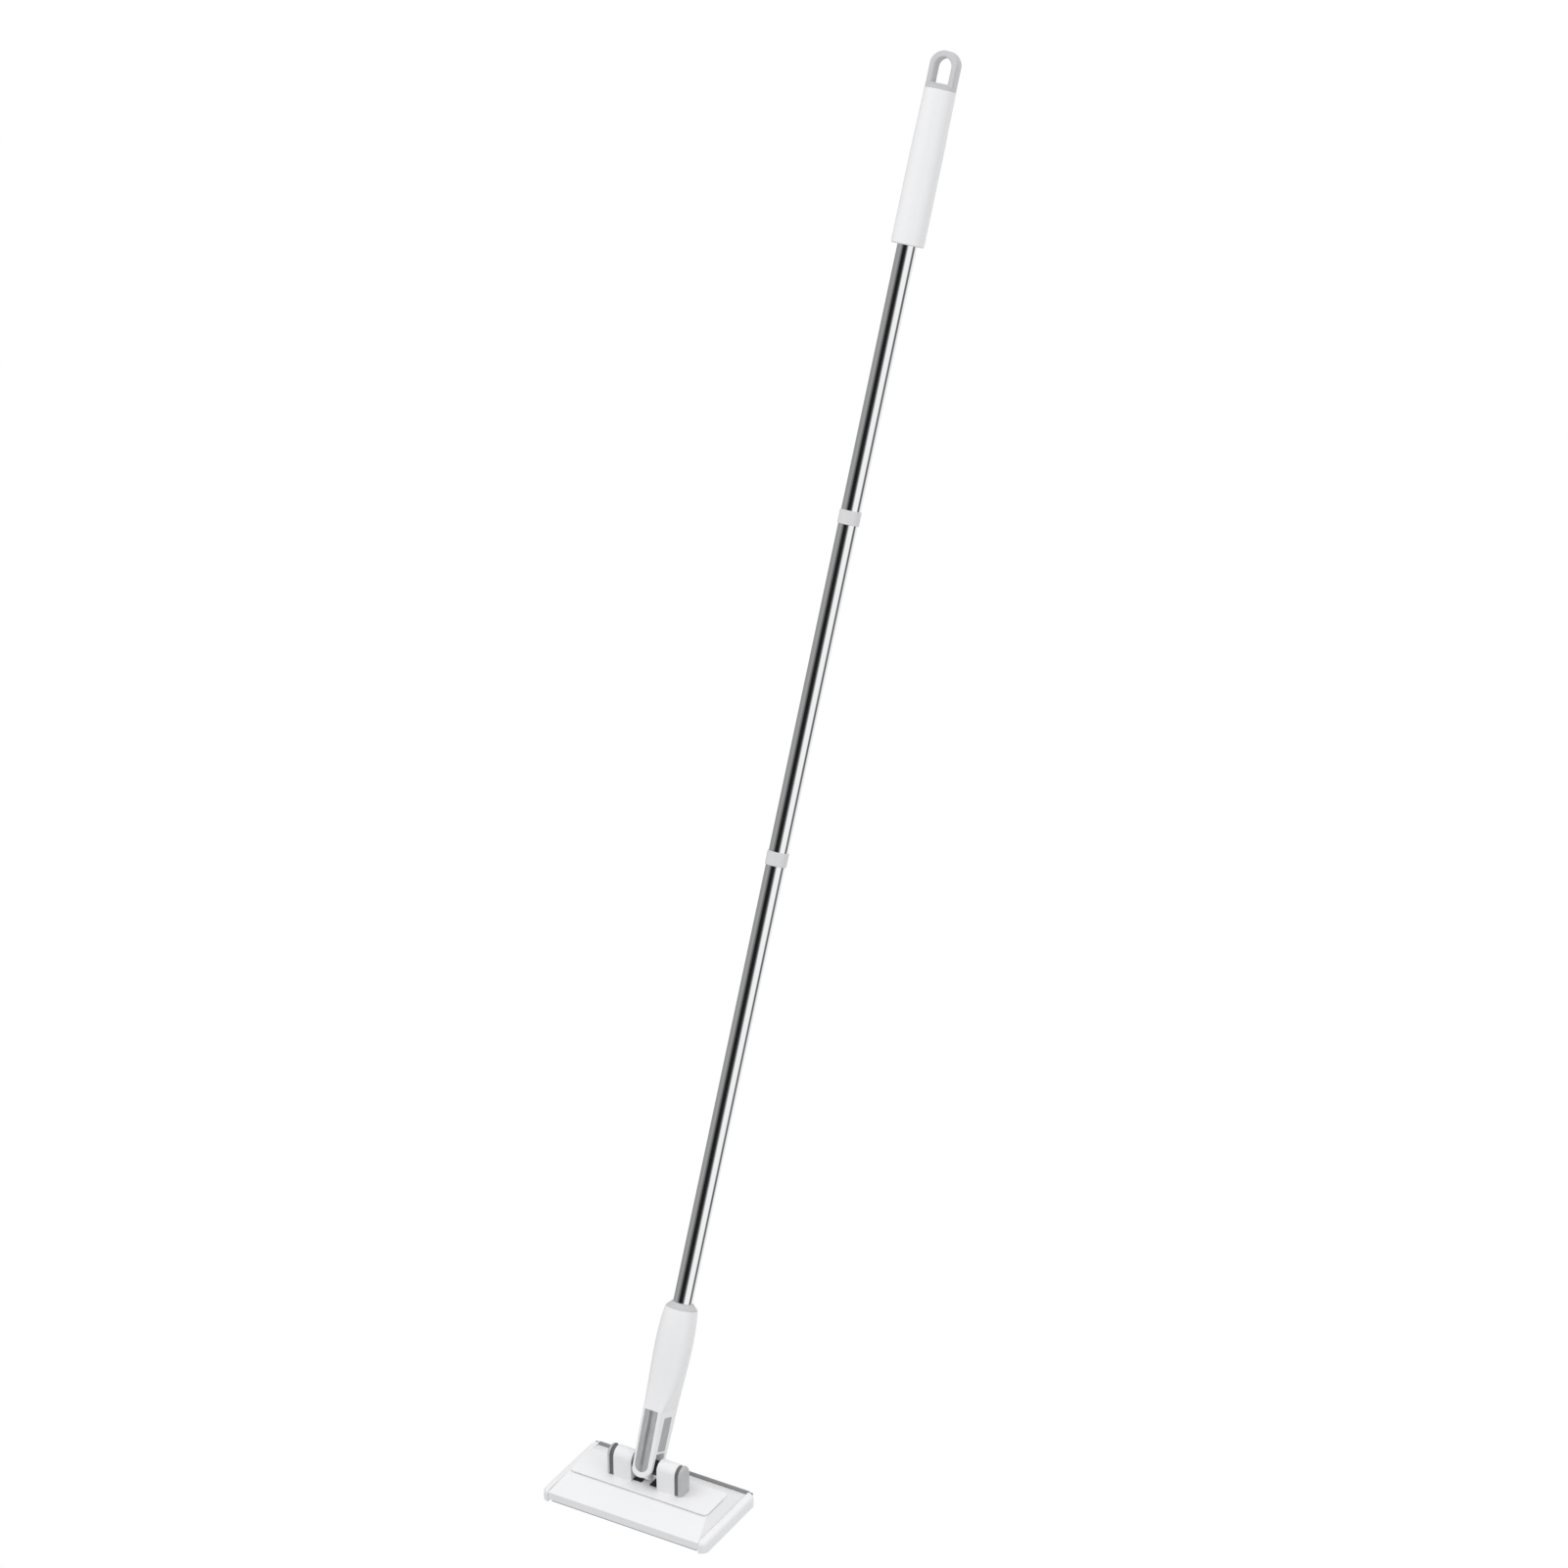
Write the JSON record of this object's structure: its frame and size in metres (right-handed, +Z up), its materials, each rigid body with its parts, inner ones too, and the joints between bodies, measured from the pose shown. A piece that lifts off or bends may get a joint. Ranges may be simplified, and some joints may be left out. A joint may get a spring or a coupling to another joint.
{
  "type": "flat mop",
  "caption": "Slim flat mop: rectangular hinged head on a two-way joint, ribbed cloth, straight polished pole, grip and hanging loop.",
  "frame": {"origin": "middle of the cloth's sole, on the floor", "axes": "+X along the head, +Y to the back of the head where the pole leans, +Z up"},
  "size_m": [0.184, 0.6226, 1.2985],
  "materials": {
    "white_plastic": "satin white moulding",
    "grey_plastic": "light grey moulding",
    "ring_plastic": "pale grey moulding",
    "inlay_grey": "soft grey moulding",
    "rod_grey": "mid grey moulding",
    "polished_tube": "polished stainless tube",
    "pin_steel": "ground",
    "screw_steel": "zinc plated",
    "dark_rubber": "black moulded rubber",
    "foam": "closed-cell foam",
    "cloth": "ribbed microfibre"
  },
  "bodies": {
    "handle": {"hang_loop": "grey_plastic", "loop_screw": "screw_steel", "grip": "white_plastic", "grip_core": "grey_plastic", "top_plug": "grey_plastic", "tube_upper": "polished_tube", "tube_middle": "polished_tube", "tube_lower": "polished_tube", "coupler_socket_lower": "ring_plastic", "coupler_socket_upper": "ring_plastic", "coupler_stud_lower": "ring_plastic", "coupler_stud_upper": "ring_plastic", "pole_collar": "grey_plastic", "tube_holder": "grey_plastic", "yoke_half_left": "white_plastic", "yoke_half_right": "white_plastic", "yoke_inlay_front": "inlay_grey", "yoke_inlay_back": "inlay_grey", "yoke_inlay_left": "inlay_grey", "yoke_inlay_right": "inlay_grey", "swivel_pins": "pin_steel"},
    "knuckle": {"knuckle": "white_plastic"},
    "head_cover": {"top_cover": "white_plastic", "hinge_rod": "rod_grey", "centre_panel": "white_plastic", "bearing_block_left": "white_plastic", "bearing_block_right": "white_plastic", "block_end_cap_left": "inlay_grey", "block_end_cap_right": "inlay_grey", "block_screws": "screw_steel", "tilt_pin": "pin_steel", "pin_spacers": "dark_rubber", "bumper_pads": "dark_rubber"},
    "head_base": {"base_tray": "white_plastic", "sole_pad": "foam", "wipe_cloth": "cloth"}
  },
  "joints": [
    {"name": "head_swivel", "type": "hinge", "parent": "handle", "child": "knuckle", "pos_m": [0, 0, 0.043], "axis": [0, 0.9107, -0.4131], "range_deg": [-15, 15]},
    {"name": "head_tilt", "type": "hinge", "parent": "knuckle", "child": "head_cover", "pos_m": [0, 0, 0.043], "axis": [1, 0, 0], "range_deg": [-104, 56]},
    {"name": "cover_hinge", "type": "hinge", "parent": "head_cover", "child": "head_base", "pos_m": [0, 0.0467, 0.0112], "axis": [1, 0, 0], "range_deg": [0, 65]}
  ]
}
